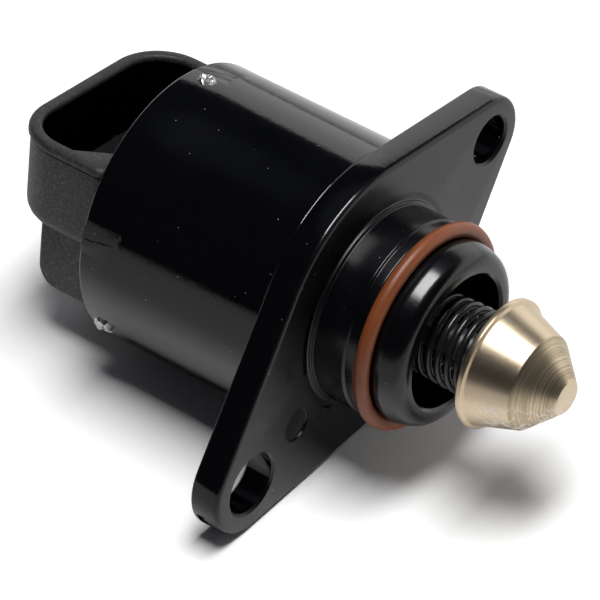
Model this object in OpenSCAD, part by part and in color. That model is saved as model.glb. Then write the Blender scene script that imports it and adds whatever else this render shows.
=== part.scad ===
// Idle air control valve: a stepper-driven pintle in a painted cast housing.
// Frame: +X along the valve axis towards the pintle tip, +Z the way the connector mouth opens,
// origin where the valve axis meets the flange's mounting face. Millimetres.

/* [Can] */
// Outer radius of the motor can
can_r = 18; // [16:0.1:22]
// Thickness of the can's wall
can_wall = 1.8; // [1:0.1:3]
// Distance from the mounting face back to the can's rear rim
can_rear = 30.8; // [28:0.1:40]
// Thickness of the can's front wall, flange included
can_floor = 4.5; // [4.2:0.1:6]
// Length of the rolled rear lip that holds the connector cap
lip_len = 0.9; // [0.5:0.1:2]
// Width of the rolled rear lip inside the can's wall
lip_in = 0.6; // [0.4:0.1:1.5]
// Radius of the round on the rear rim
rim_round = 0.5; // [0.2:0.1:0.8]

/* [Flange] */
// Thickness of the two-hole mounting flange
flange_t = 4; // [3:0.1:4.2]
// Projection of the flange's middle round past the can
flange_out = 0.6; // [0.4:0.1:3]
// Turn of the lower bolt hole's line from +Y towards +Z, in degrees
flange_turn = 35.3; // [0:0.1:90]
// Turn of the upper bolt hole from the line through the lower one, in degrees
flange_bend = -3.3; // [-8:0.1:8]
// Distance of the lower bolt hole from the valve axis
hole_low_d = 26.6; // [25:0.1:32]
// Distance of the upper bolt hole from the valve axis
hole_up_d = 24.6; // [23:0.1:32]
// Radius of the lower bolt hole
hole_low_r = 3.95; // [2:0.05:4.5]
// Radius of the upper bolt hole
hole_up_r = 3.1; // [2:0.05:4]
// Radius of the lobe around the lower bolt hole
lobe_low_r = 6.6; // [6:0.1:9]
// Radius of the lobe around the upper bolt hole
lobe_up_r = 5.6; // [5:0.1:8]
// Offset of the upper lobe's centre from its hole, towards the axis
lobe_up_in = 0.1; // [0:0.1:1]
// Width of the countersink round each bolt hole
hole_chamfer = 0.4; // [0.1:0.05:1]
// Depth of the rounded front edge of the flange
edge_depth = 0.8; // [0.4:0.1:1.2]
// Radius of the shallow round recess on the lower lobe
mark_r = 2.2; // [1:0.1:2.6]
// Distance of the shallow round recess from the valve axis
mark_d = 17.6; // [16.5:0.1:19]
// Turn of the recess from the line of the bolt holes, in degrees
mark_turn = 2.9; // [-8:0.1:8]
// Depth of the shallow round recess
mark_depth = 0.25; // [0.1:0.05:1]
// Depth of the gate notch in the lower tip
notch_depth = 0.35; // [0.1:0.05:0.8]
// Width of the gate notch
notch_w = 2.6; // [1:0.1:4]

/* [Boss and nose] */
// Projection of the low collar at the foot of the boss
collar_out = 0.45; // [0.2:0.05:1]
// Height of the low collar
collar_h = 0.4; // [0.2:0.1:1]
// Radius of the boss that locates the valve in its mating bore
boss_r = 12.6; // [12.2:0.05:14]
// Height of the boss up to its tapered front end
boss_h = 4.7; // [3:0.1:8]
// Length of the tapered end between the boss and the ring groove
lead_len = 1.5; // [0.5:0.1:3]
// Drop of the tapered end over its length
lead_in = 0.3; // [0.1:0.05:0.6]
// Free width of the ring groove beyond the ring
groove_play = 0.4; // [0.1:0.1:2]
// Step from the boss down to the nose in front of the groove
nose_step = 0.9; // [0.5:0.05:1.8]
// Length of the nose in front of the groove
nose_len = 3.6; // [2:0.1:6]
// Radius of the round on the nose's end
nose_round = 2.2; // [0.3:0.05:2.5]
// Radius of the bore in the nose
nose_bore_r = 8.6; // [8.3:0.05:9]
// Distance from the mounting face to the floor of the nose bore
nose_floor = 2; // [1.6:0.1:3.5]

/* [Sealing ring] */
// Section radius of the sealing ring
ring_tube = 0.95; // [0.8:0.05:1.6]
// Outer radius of the sealing ring
ring_out = 13.35; // [12.9:0.05:14]

/* [Pintle] */
// Distance from the mounting face to the back of the pintle
pintle_back = 17.7; // [17.5:0.1:22]
// Clearance of the pintle's rim in the nose bore, on the radius
rim_gap = 0.35; // [0.2:0.05:1]
// Width of the pintle's rim
rim_w = 0.8; // [0.5:0.05:2]
// Step from the rim down to the pintle's shallow cone
rim_step = 0.6; // [0.2:0.05:0.8]
// Distance from the pintle's back to the end of the shallow cone
cone_len = 6.1; // [4:0.1:8]
// Radius at the end of the shallow cone
cone_r = 6; // [4:0.05:7]
// Length of the pintle
pintle_len = 10.2; // [9:0.1:14]
// Radius of the flat on the pintle's tip
tip_r = 2.1; // [1:0.05:3]
// Depth of the pocket for the spring in the pintle's back
pocket_depth = 2; // [1:0.1:2.6]
// Radius of the threaded shaft
shaft_r = 2; // [1.6:0.05:2.4]
// Distance from the mounting face back to the shaft's rear end
shaft_rear = 24; // [15:0.1:25]
// Length of the shaft held in the pintle
shaft_in = 3.8; // [2:0.1:5]

/* [Spring] */
// Outer radius of the return spring
spring_out = 5.5; // [5:0.05:6]
// Radius of the spring's wire
wire_r = 0.45; // [0.3:0.01:0.6]
// Number of spring turns between the closed end turns
spring_turns = 10.5; // [5:0.5:12]
// Thickness of the spring's seat washer
seat_t = 0.6; // [0.3:0.1:2]
// Width of the seat washer outside the spring
seat_out = 0.7; // [0.3:0.1:2]

/* [Guide and bearing] */
// Thickness of the guide bush's wall
guide_wall = 1.15; // [0.8:0.05:1.6]
// Length of the guide bush
guide_len = 3.4; // [1.5:0.1:5]
// Outer radius of the ball bearing
bearing_out = 8; // [7.6:0.05:9]
// Bore radius of the ball bearing
bearing_in = 4; // [3.6:0.05:4.4]
// Width of the ball bearing
bearing_w = 4.4; // [3:0.1:4.6]
// Radius of a ball
ball_r = 0.85; // [0.7:0.05:1]
// Number of balls
ball_count = 9; // [6:1:12]

/* [Rotor] */
// Clearance between the rotor magnet and the pole teeth
air_gap = 0.4; // [0.3:0.05:0.8]
// Radius of the rotor hub under the magnet
hub_r = 5; // [4.8:0.05:6]
// Radius of the rear journal of the hub
journal_r = 3; // [2.8:0.05:3.5]

/* [Stator] */
// Thickness of a pole plate
pole_t = 1; // [0.6:0.1:1.5]
// Inner radius of a pole tooth
tooth_in = 8.75; // [8.5:0.05:9.5]
// Thickness of a pole tooth
tooth_t = 0.75; // [0.5:0.05:1.2]
// Number of teeth on a pole plate
tooth_count = 12; // [6:1:12]
// Angle taken up by a tooth, in degrees
tooth_angle = 12; // [4:0.5:12]
// Thickness of a coil bobbin's walls
bobbin_wall = 0.7; // [0.4:0.05:1.2]
// Depth of a winding below its bobbin's flanges
winding_in = 0.7; // [0.2:0.05:2]

/* [Connector cap] */
// Thickness of the plug that closes the can
plug_t = 2.1; // [1.6:0.1:3]
// Length of the cap block behind the can's rear rim
cap_len = 11.2; // [8:0.1:13]
// Half width of the cap block
cap_half = 11.6; // [9:0.1:13]
// Radius of the cap block's rounded foot
cap_out = 16.2; // [15.6:0.1:17]
// Radius of the round on the block's rear edge
cap_round = 2.8; // [1:0.1:4]
// Length of the shroud behind the can's rear rim
shroud_len = 15.1; // [14.6:0.1:18]
// Gap between the can's rear rim and the shroud
shroud_gap = 0.6; // [0.3:0.1:2]
// Half width of the shroud
shroud_half = 13.8; // [13:0.1:16]
// Height of the shroud's foot
shroud_low = -2.5; // [-5:0.1:-2.4]
// Height of the shroud's mouth
shroud_top = 10.2; // [9:0.1:18]
// Radius of the shroud's rear corners
shroud_corner = 6.6; // [3:0.1:7.6]
// Radius of the shroud's corners next to the can
shroud_front_r = 1.2; // [0.5:0.1:2]
// Radius of the round along the shroud's foot
foot_round = 2.4; // [0.5:0.1:3]
// Thickness of the shroud's wall
shroud_wall = 1.4; // [1:0.1:2.2]
// Thickness of the shroud's wall next to the can
shroud_ledge = 4.6; // [2:0.1:5.5]
// Drop of that wall's top below the mouth
ledge_drop = 0.9; // [0.3:0.1:2]
// Length of the slanting corners inside the mouth
slant_len = 4.3; // [3.6:0.1:4.6]
// Width of the slanting corners inside the mouth
slant_w = 3.1; // [1:0.1:5]
// Height of the floor inside the shroud
shroud_floor = -1; // [-1.6:0.1:2]
// Height of the raised band round the mouth
band_h = 1.2; // [0.5:0.1:3]
// Projection of the raised band
band_out = 0.35; // [0.1:0.05:0.5]
// Spacing of the keying ribs from the middle
rib_y = 5.4; // [3:0.1:7]
// Width of a keying rib
rib_w = 1.2; // [0.6:0.1:2]
// Projection of a keying rib
rib_out = 0.9; // [0.4:0.1:1.5]

/* [Terminals] */
// Spacing of the terminals
terminal_pitch = 4.2; // [3.2:0.1:5]
// Width of a terminal
terminal_w = 1.5; // [0.6:0.1:2.5]
// Thickness of a terminal
terminal_t = 0.64; // [0.4:0.02:1]
// Distance of the terminal blades behind the can's rear rim
terminal_back = 8.7; // [8:0.1:9.5]
// Height of the terminals' tips
terminal_top = 4.6; // [3:0.1:8]
// Height of the legs that lead forward to the coils
terminal_leg = -6.2; // [-8:0.1:-5.8]

/* [Clearances] */
// Radial running clearance of the shaft and the journals
run_fit = 0.05; // [0.02:0.01:0.1]
// Clearance between neighbouring parts that do not touch
gap = 0.3; // [0.2:0.05:0.35]

/* [Hidden] */
eps = 0.01;
fine = 96;
mid = 64;
small = 32;
corner = 0.2;
can_bore_r = can_r - can_wall;
lip_r = can_bore_r - lip_in;
flange_r = can_r + flange_out;
collar_r = boss_r + collar_out;
lead_end = boss_h + lead_len;
groove_r = ring_out - 2 * ring_tube;
groove_end = lead_end + 2 * ring_tube + groove_play;
nose_r = boss_r - nose_step;
nose_h = groove_end + nose_len;
nose_arc = min(nose_round, nose_len - 2 * corner, nose_r - nose_bore_r - 3 * corner);
ring_x = (lead_end + groove_end) / 2;
ring_c = ring_out - ring_tube;

// Bearing seat and guide, from the front wall forwards
guide_out = shaft_r + guide_wall;
relief_x = 0.8;
relief_r = bearing_out - 1.6;
bearing_front = relief_x - 0.5;
bearing_rear = bearing_front - bearing_w;
bearing_x = (bearing_front + bearing_rear) / 2;
ball_circle = (bearing_in + bearing_out) / 2;
race_half = ball_r - 0.3;
hub_front = bearing_front - 0.2;

// Pintle and spring
pintle_rim_r = nose_bore_r - rim_gap;
pintle_neck_r = pintle_rim_r - rim_step;
tip_x = pintle_back + pintle_len;
pocket_r = spring_out + 0.5;
pocket_x = pintle_back + pocket_depth;
shaft_front = pocket_x + shaft_in;
spring_x0 = nose_floor + seat_t;
spring_c = spring_out - wire_r;
closed_pitch = 2 * wire_r + 0.02;
open_pitch = (pocket_x - spring_x0 - 2 * wire_r - 2 * closed_pitch) / spring_turns;

// Connector cap and its plug
plug_rear = lip_len - can_rear;
plug_front = plug_rear + plug_t;
seal_tube = 0.55;
seal_w = 2 * seal_tube + 0.2;
seal_x = (plug_rear + plug_front) / 2;
bush_out = journal_r + 1.5;
well_r = shaft_r + 0.6;
well_x = can_rear + 1.6;
cap_r = lip_r - 0.2;
cap_top = 8;
shroud_x0 = -can_rear - shroud_len;
shroud_x1 = -can_rear - shroud_gap;
terminal_x = can_rear + terminal_back;

// Stack of pole plates and bobbins, from the front wall back to the plug
bobbin_len = (-can_floor - plug_front - 4 * pole_t) / 2;
stack1 = -can_floor - pole_t;
stack2 = stack1 - bobbin_len;
stack3 = stack2 - pole_t;
stack4 = stack3 - pole_t;
stack5 = stack4 - bobbin_len;
stack6 = stack5 - pole_t;
tooth_len = bobbin_len - 1;
tooth_out = tooth_in + tooth_t;
bobbin_in = tooth_out + 0.15;
bobbin_out = can_bore_r - gap;
winding_out = bobbin_out - winding_in;
magnet_r = tooth_in - air_gap;
magnet_x1 = stack1 - 0.5;
magnet_x0 = stack6 + pole_t;
hub_rear = plug_rear + 0.4;

// Front edge of the flange: depth from, depth to and inset, as shares of its depth
edge_steps = [[0, 0.2, 0.6], [0.2, 0.52, 0.3], [0.52, 1, 0.1]];

// Round along the shroud's foot: height from, height to and inset, as shares of its radius
foot_steps = [[0, 0.08, 0.72], [0.08, 0.22, 0.47], [0.22, 0.5, 0.24], [0.5, 1, 0.05]];

// Turns a shape drawn about the Z axis so that it lies about the X axis.
module on_axis() {
  rotate([0, 90, 0]) children();
}

// Raises a flat shape of the YZ plane from x0 to x1.
module slab(x0, x1) {
  translate([x0, 0, 0]) rotate([90, 0, 90]) linear_extrude(x1 - x0) children();
}

// A plain or hollow cylinder on the valve axis.
module tube(x0, x1, r_out, r_in, n) {
  translate([x0, 0, 0]) on_axis() difference() {
    cylinder(h = x1 - x0, r = r_out, $fn = n);
    if (r_in > 0) {
      translate([0, 0, -1]) cylinder(h = x1 - x0 + 2, r = r_in, $fn = n);
    }
  }
}

// Points of an arc about a centre, from one angle to another in n steps.
function arc(c, r, a0, a1, n) = [for (i = [0:n]) [c[0] + r * cos(a0 + (a1 - a0) * i / n),
  c[1] + r * sin(a0 + (a1 - a0) * i / n)]];

// Flange outline drawn in by a given inset: two lobes and the middle round, joined by tangent sides.
module flange_outline(inset) {
  b = flange_bend;
  up_d = hole_up_d - lobe_up_in;
  up = 90 - asin((flange_r - lobe_up_r) / up_d);
  low = 90 - asin((flange_r - lobe_low_r) / hole_low_d);
  rotate(flange_turn) polygon(concat(
    arc([up_d * cos(b), up_d * sin(b)], lobe_up_r - inset, b - up, b + up, 24),
    arc([0, 0], flange_r - inset, b + up, 180 - low, 16),
    arc([-hole_low_d, 0], lobe_low_r - inset, 180 - low, 180 + low, 24),
    arc([0, 0], flange_r - inset, 180 + low, 360 + b - up, 16)));
}

// A bolt hole at a given turn and distance from the valve axis, countersunk on both faces.
module bolt_hole(turn, d, r) {
  rotate([turn, 0, 0]) translate([0, d, 0]) {
    translate([-flange_t - 1, 0, 0]) on_axis() cylinder(h = flange_t + 2, r = r, $fn = mid);
    translate([-hole_chamfer, 0, 0]) on_axis()
      cylinder(h = hole_chamfer + eps, r1 = r, r2 = r + hole_chamfer + eps, $fn = mid);
    translate([-flange_t - eps, 0, 0]) on_axis()
      cylinder(h = hole_chamfer + eps, r1 = r + hole_chamfer + eps, r2 = r, $fn = mid);
  }
}

module housing_round() {
  on_axis() rotate_extrude($fn = fine) polygon(concat(
    [[lip_r, -can_rear]],
    arc([can_r - rim_round, -can_rear + rim_round], rim_round, -90, 0, 4),
    [[can_r, -flange_t - flange_out], [flange_r - 0.1, -flange_t], [flange_r - 0.1, -edge_depth],
     [collar_r, -edge_depth], [collar_r, collar_h], [boss_r, collar_h], [boss_r, boss_h - corner],
     [boss_r - corner, boss_h], [boss_r - lead_in, lead_end], [groove_r, lead_end], [groove_r, groove_end],
     [nose_r - corner, groove_end], [nose_r, groove_end + corner]],
    arc([nose_r - nose_arc, nose_h - nose_arc], nose_arc, 0, 90, 8),
    [[nose_bore_r + 2 * corner, nose_h], [nose_bore_r, nose_h - 2 * corner], [nose_bore_r, nose_floor],
     [guide_out, nose_floor], [guide_out, relief_x], [relief_r, relief_x], [relief_r, bearing_front],
     [bearing_out, bearing_front], [bearing_out, -can_floor], [can_bore_r, -can_floor],
     [can_bore_r, plug_rear], [lip_r, plug_rear]]));
}

module housing() {
  color([0.035, 0.037, 0.045]) difference() {
    union() {
      housing_round();
      difference() {
        union() {
          slab(-flange_t, -edge_depth) flange_outline(0);
          for (s = edge_steps) {
            slab(-s[1] * edge_depth - eps, -s[0] * edge_depth) flange_outline(s[2] * edge_depth);
          }
        }
        tube(-flange_t - 1, 1, collar_r - corner, 0, fine);
      }
    }
    bolt_hole(flange_turn, -hole_low_d, hole_low_r);
    bolt_hole(flange_turn + flange_bend, hole_up_d, hole_up_r);
    rotate([flange_turn + mark_turn, 0, 0]) translate([-mark_depth, -mark_d, 0])
      on_axis() cylinder(h = 1, r = mark_r, $fn = small);
    // Gate notch in the lower tip's side wall
    rotate([flange_turn, 0, 0]) translate([-0.65 * flange_t, -hole_low_d - lobe_low_r, 0])
      cube([0.35 * flange_t, 2 * notch_depth, notch_w], center = true);
  }
}

module o_ring() {
  color([0.6, 0.28, 0.16]) translate([ring_x, 0, 0]) on_axis()
    rotate_extrude($fn = 80) translate([ring_c, 0]) circle(r = ring_tube, $fn = 24);
}

module pintle() {
  color([0.78, 0.68, 0.45]) on_axis() rotate_extrude($fn = fine) polygon([
    [pocket_r, pintle_back], [pintle_rim_r - 0.3, pintle_back], [pintle_rim_r, pintle_back + 0.3],
    [pintle_rim_r, pintle_back + rim_w - 0.15], [pintle_rim_r - 0.15, pintle_back + rim_w],
    [pintle_neck_r, pintle_back + rim_w + 0.1], [pintle_neck_r - 0.05, pintle_back + rim_w + 0.5],
    [cone_r, pintle_back + cone_len], [tip_r + 0.15, tip_x - 0.12], [tip_r, tip_x],
    [0, tip_x], [0, shaft_front], [shaft_r, shaft_front], [shaft_r, pocket_x], [pocket_r, pocket_x]]);
}

module pintle_shaft() {
  color([0.62, 0.62, 0.64]) translate([-shaft_rear, 0, 0]) on_axis() {
    cylinder(h = shaft_rear + shaft_front, r = shaft_r, $fn = mid);
  }
}

// Length along the spring after t turns, with a closed turn at each end.
function spring_at(t) = t < 1 ? t * closed_pitch :
  t < 1 + spring_turns ? closed_pitch + (t - 1) * open_pitch :
  closed_pitch + spring_turns * open_pitch + (t - 1 - spring_turns) * closed_pitch;

module return_spring() {
  steps = 20;
  sides = 6;
  total = ceil((spring_turns + 2) * steps);
  pts = [for (i = [0:total]) let (t = i / steps, a = 360 * t) for (j = [0:sides - 1])
    let (b = 360 * j / sides, r = spring_c + wire_r * cos(b))
    [spring_x0 + wire_r + spring_at(t) + wire_r * sin(b), r * cos(a), r * sin(a)]];
  side = [for (i = [0:total - 1]) for (j = [0:sides - 1]) let (k = (j + 1) % sides)
    [i * sides + j, (i + 1) * sides + j, (i + 1) * sides + k, i * sides + k]];
  caps = [[for (j = [0:sides - 1]) j], [for (j = [sides - 1:-1:0]) total * sides + j]];
  color([0.09, 0.09, 0.1]) polyhedron(points = pts, faces = concat(side, caps), convexity = 12);
}

module spring_seat() {
  color([0.5, 0.5, 0.52]) tube(nose_floor, nose_floor + seat_t, spring_out + seat_out, guide_out + gap, mid);
}

module guide_bush() {
  color([0.72, 0.55, 0.25]) tube(relief_x, relief_x + guide_len, guide_out, shaft_r + run_fit, mid);
}

module ball_groove(r) {
  translate([bearing_x, 0, 0]) on_axis()
    rotate_extrude($fn = mid) translate([ball_circle, 0]) circle(r = r, $fn = 24);
}

module bearing_outer_race() {
  color([0.7, 0.71, 0.73]) difference() {
    tube(bearing_rear, bearing_front, bearing_out, ball_circle + race_half, mid);
    ball_groove(ball_r);
  }
}

module bearing_inner_race() {
  color([0.7, 0.71, 0.73]) difference() {
    tube(bearing_rear, bearing_front, ball_circle - race_half, bearing_in, mid);
    ball_groove(ball_r + run_fit);
  }
}

module bearing_balls() {
  color([0.78, 0.79, 0.8]) for (i = [0:ball_count - 1]) {
    rotate([i * 360 / ball_count, 0, 0])
      translate([bearing_x, ball_circle, 0]) sphere(r = ball_r, $fn = 20);
  }
}

module rotor_hub() {
  color([0.85, 0.83, 0.76]) on_axis() rotate_extrude($fn = mid) polygon([
    [shaft_r + run_fit, hub_rear], [journal_r, hub_rear], [journal_r, magnet_x0], [hub_r, magnet_x0],
    [hub_r, bearing_rear], [bearing_in, bearing_rear], [bearing_in, hub_front],
    [shaft_r + run_fit, hub_front]]);
}

module rotor_magnet() {
  color([0.16, 0.15, 0.16]) tube(magnet_x0, magnet_x1, magnet_r, hub_r, mid);
}

// Ring of axial teeth, each a sector between the two tooth radii.
module teeth(x0, x1, turn) {
  reach = 1.3 * tooth_out;
  slab(x0, x1) intersection() {
    difference() {
      circle(r = tooth_out, $fn = mid);
      circle(r = tooth_in, $fn = mid);
    }
    for (i = [0:tooth_count - 1]) {
      rotate(turn + i * 360 / tooth_count)
        polygon([[0, 0], [reach, -reach * tan(tooth_angle / 2)], [reach, reach * tan(tooth_angle / 2)]]);
    }
  }
}

module pole(x0, dir, turn) {
  color([0.5, 0.51, 0.53]) union() {
    tube(x0, x0 + pole_t, can_bore_r, tooth_in, fine);
    if (dir > 0) {
      teeth(x0 + pole_t - eps, x0 + pole_t + tooth_len, turn);
    } else {
      teeth(x0 - tooth_len, x0 + eps, turn);
    }
  }
}

module front_outer_pole() {
  pole(stack1, -1, 0);
}

module front_inner_pole() {
  pole(stack3, 1, 180 / tooth_count);
}

module rear_inner_pole() {
  pole(stack4, -1, 90 / tooth_count);
}

module rear_outer_pole() {
  pole(stack6, 1, 270 / tooth_count);
}

module bobbin(x0, x1) {
  core = bobbin_in + bobbin_wall;
  color([0.9, 0.88, 0.8]) on_axis() rotate_extrude($fn = mid) polygon([
    [bobbin_in, x0], [bobbin_out, x0], [bobbin_out, x0 + bobbin_wall], [core, x0 + bobbin_wall],
    [core, x1 - bobbin_wall], [bobbin_out, x1 - bobbin_wall], [bobbin_out, x1], [bobbin_in, x1]]);
}

module winding(x0, x1) {
  color([0.72, 0.36, 0.18])
    tube(x0 + bobbin_wall, x1 - bobbin_wall, winding_out, bobbin_in + bobbin_wall, mid);
}

module front_bobbin() {
  bobbin(stack2, stack1);
}

module front_winding() {
  winding(stack2, stack1);
}

module rear_bobbin() {
  bobbin(stack5, stack4);
}

module rear_winding() {
  winding(stack5, stack4);
}

module rear_bush() {
  color([0.72, 0.55, 0.25]) tube(plug_rear, plug_front, bush_out, journal_r + run_fit, mid);
}

module thrust_washer() {
  color([0.75, 0.76, 0.78]) tube(plug_front, magnet_x0 - gap, bush_out, journal_r + gap, mid);
}

module rear_seal() {
  color([0.08, 0.08, 0.08]) translate([seal_x, 0, 0]) on_axis()
    rotate_extrude($fn = fine) translate([can_bore_r - seal_tube, 0]) circle(r = seal_tube, $fn = 16);
}

// Flat outline of the shroud, drawn in by an inset, with its wall next to the can at x1.
module shroud_flat(inset, x1) {
  x0 = shroud_x0 + inset;
  h = shroud_half - inset;
  r = shroud_corner - inset;
  f = shroud_front_r;
  polygon(concat(
    arc([x0 + r, -h + r], r, 180, 270, 10),
    arc([x1 - f, -h + f], f, 270, 360, 4),
    arc([x1 - f, h - f], f, 0, 90, 4),
    arc([x0 + r, h - r], r, 90, 180, 10)));
}

// Flat outline of the mouth's inside, with corners of a slanting length at its side x1 next to the can.
module pocket_flat(x1, slant) {
  w = slant * slant_w / slant_len;
  x0 = shroud_x0 + shroud_wall;
  h = shroud_half - shroud_wall;
  r = shroud_corner - shroud_wall;
  polygon(concat(
    arc([x0 + r, -h + r], r, 180, 270, 10),
    [[x1 - slant, -h], [x1, w - h], [x1, h - w], [x1 - slant, h]],
    arc([x0 + r, h - r], r, 90, 180, 10)));
}

module shroud() {
  for (s = foot_steps) {
    translate([0, 0, shroud_low + s[0] * foot_round]) linear_extrude((s[1] - s[0]) * foot_round + eps)
      shroud_flat(s[2] * foot_round, shroud_x1);
  }
  translate([0, 0, shroud_low + foot_round])
    linear_extrude(shroud_top - shroud_low - foot_round) shroud_flat(0, shroud_x1);
  translate([0, 0, shroud_top - band_h]) linear_extrude(band_h - corner) shroud_flat(-band_out, shroud_x1);
}

// The mouth's deep pocket, and the shallow one over the ledge next to the can.
module shroud_pocket() {
  slant_left = max(slant_len - shroud_ledge + shroud_wall, corner);
  translate([0, 0, shroud_floor])
    linear_extrude(2 * shroud_top) pocket_flat(shroud_x1 - shroud_ledge, slant_left);
  translate([0, 0, shroud_top - ledge_drop])
    linear_extrude(shroud_top) pocket_flat(shroud_x1 - shroud_wall, slant_len);
}

module cap_block() {
  x0 = -can_rear - cap_len;
  intersection() {
    union() {
      on_axis() rotate_extrude($fn = fine) polygon(concat(
        [[0, x0]], arc([cap_out - cap_round, x0 + cap_round], cap_round, -90, 0, 8),
        [[cap_out, -can_rear - gap], [0, -can_rear - gap]]));
      tube(x0, plug_rear + eps, cap_r, 0, fine);
    }
    translate([x0, -cap_half, -cap_out]) cube([can_rear, 2 * cap_half, cap_out + cap_top]);
  }
}

module plug() {
  tube(plug_rear, plug_front, can_bore_r, 0, fine);
}

// Keying ribs inside the shroud, on its wall next to the can.
module key_ribs() {
  for (cy = [-rib_y, rib_y]) {
    translate([shroud_x1 - shroud_ledge - rib_out, cy - rib_w / 2, shroud_floor - eps])
      cube([rib_out + eps, rib_w, shroud_top - shroud_floor - band_h]);
  }
}

// Four blades, each with a leg that leads forward through the plug.
module terminal_set() {
  half = terminal_t / 2;
  for (i = [-1.5, -0.5, 0.5, 1.5]) {
    translate([-terminal_x - half, i * terminal_pitch - terminal_w / 2, terminal_leg - half]) {
      cube([terminal_t, terminal_w, terminal_top - terminal_leg + half]);
      cube([terminal_x + half + plug_front, terminal_w, terminal_t]);
    }
  }
}

module connector_cap() {
  color([0.1, 0.1, 0.11]) difference() {
    union() {
      difference() {
        union() {
          shroud();
          cap_block();
        }
        shroud_pocket();
      }
      key_ribs();
      plug();
    }
    // Groove for the rear seal
    translate([seal_x, 0, 0]) on_axis()
      rotate_extrude($fn = fine) translate([can_bore_r - 2 * seal_tube, -seal_w / 2]) square([2, seal_w]);
    tube(plug_rear, plug_front + 1, bush_out, 0, mid);
    tube(-well_x, plug_front + 1, well_r, 0, small);
    terminal_set();
  }
}

module terminals() {
  color([0.8, 0.78, 0.7]) terminal_set();
}

housing();
o_ring();
pintle();
pintle_shaft();
return_spring();
spring_seat();
guide_bush();
bearing_outer_race();
bearing_inner_race();
bearing_balls();
rotor_hub();
rotor_magnet();
front_outer_pole();
front_bobbin();
front_winding();
front_inner_pole();
rear_inner_pole();
rear_bobbin();
rear_winding();
rear_outer_pole();
thrust_washer();
rear_bush();
rear_seal();
connector_cap();
terminals();
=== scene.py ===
# %% [markdown]
# # Idle air control valve
#
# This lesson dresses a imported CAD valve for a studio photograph. The valve lies on a white table: a black
# painted can with a slanting flange, a ringed nose, and a gold plated cone on a black spring.
# The CAD solids are the fixed frame, and every piece that is made here sits on them.

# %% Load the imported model
import math

import bmesh
import bpy
from mathutils import Matrix, Vector, noise


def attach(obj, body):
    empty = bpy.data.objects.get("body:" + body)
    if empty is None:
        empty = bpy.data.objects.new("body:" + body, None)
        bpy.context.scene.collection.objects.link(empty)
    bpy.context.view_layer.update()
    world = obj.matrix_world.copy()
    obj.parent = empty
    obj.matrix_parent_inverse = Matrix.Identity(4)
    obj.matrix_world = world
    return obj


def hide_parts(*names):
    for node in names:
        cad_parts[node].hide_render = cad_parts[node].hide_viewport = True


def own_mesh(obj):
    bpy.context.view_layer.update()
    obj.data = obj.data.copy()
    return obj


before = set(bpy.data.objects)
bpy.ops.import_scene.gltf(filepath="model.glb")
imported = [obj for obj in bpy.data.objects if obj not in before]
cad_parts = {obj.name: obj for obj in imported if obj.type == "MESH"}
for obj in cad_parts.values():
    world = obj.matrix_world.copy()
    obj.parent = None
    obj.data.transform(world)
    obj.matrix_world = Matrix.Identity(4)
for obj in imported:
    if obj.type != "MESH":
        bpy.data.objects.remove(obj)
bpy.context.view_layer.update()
bpy.ops.object.select_all(action="DESELECT")
MM = 0.001

# %% [markdown]
# ## Camera
#
# The photograph was taken from far away with a long lens: circles on the valve are ellipses of nearly one
# shape wherever they are. The camera is placed by three directions of the object as the picture shows them,
# right, down and ahead, and by the spot in the picture where the valve's own origin lies.

# %% Camera
SIDE = 600
SCALE = 8.465
FOCUS = 5200.0
AXIS_SPOT = (375.7, 301.3)
RIGHT = Vector((0.78658, 0.61227, 0.08014))
DOWN = Vector((0.40079, -0.40749, -0.82056))
AHEAD = Vector((-0.46975, 0.67755, -0.56591))

camera = bpy.data.objects.new("camera", bpy.data.cameras.new("camera"))
bpy.context.scene.collection.objects.link(camera)
bpy.context.scene.camera = camera
distance = FOCUS / SCALE * MM
sideways = (AXIS_SPOT[0] - SIDE / 2) / SCALE * MM
below = (AXIS_SPOT[1] - SIDE / 2) / SCALE * MM
camera.location = -AHEAD * distance - RIGHT * sideways - DOWN * below
camera.rotation_mode = "QUATERNION"
camera.rotation_quaternion = Matrix((RIGHT, -DOWN, -AHEAD)).transposed().to_quaternion()
camera.data.sensor_width = 36
camera.data.lens = 36 * FOCUS / SIDE
camera.data.clip_start = 0.01
camera.data.clip_end = 20
print("camera", [round(x, 4) for x in camera.location], "lens", round(camera.data.lens, 1))

# %% [markdown]
# ## Shader sums written as Python
#
# A shader is a web of nodes, and sums made of Math nodes are hard to read. The class Wire wraps one output
# of a node, so that `1 - grain * 0.2` adds the Math nodes by itself. The class Finish holds one node tree
# and adds any other node from its type, its settings and the values or wires of its sockets.

# %% Wires and finishes
class Wire:
    def __init__(self, finish, socket):
        self.finish, self.socket = finish, socket

    def __add__(self, other):
        return self.finish.sum("ADD", self, other)

    def __sub__(self, other):
        return self.finish.sum("SUBTRACT", self, other)

    def __mul__(self, other):
        return self.finish.sum("MULTIPLY", self, other)

    def __rsub__(self, other):
        return self.finish.sum("SUBTRACT", other, self)

    __radd__, __rmul__ = __add__, __mul__

    def above(self, level, soft=0.001):
        """1 where the value is above the level and 0 below it, with a soft step."""
        values = {0: self, 1: level - soft, 2: level + soft}
        return self.finish.node("ShaderNodeMapRange", {"interpolation_type": "SMOOTHSTEP"}, values)

    def at_least(self, other):
        return self.finish.sum("MAXIMUM", self, other)


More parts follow.
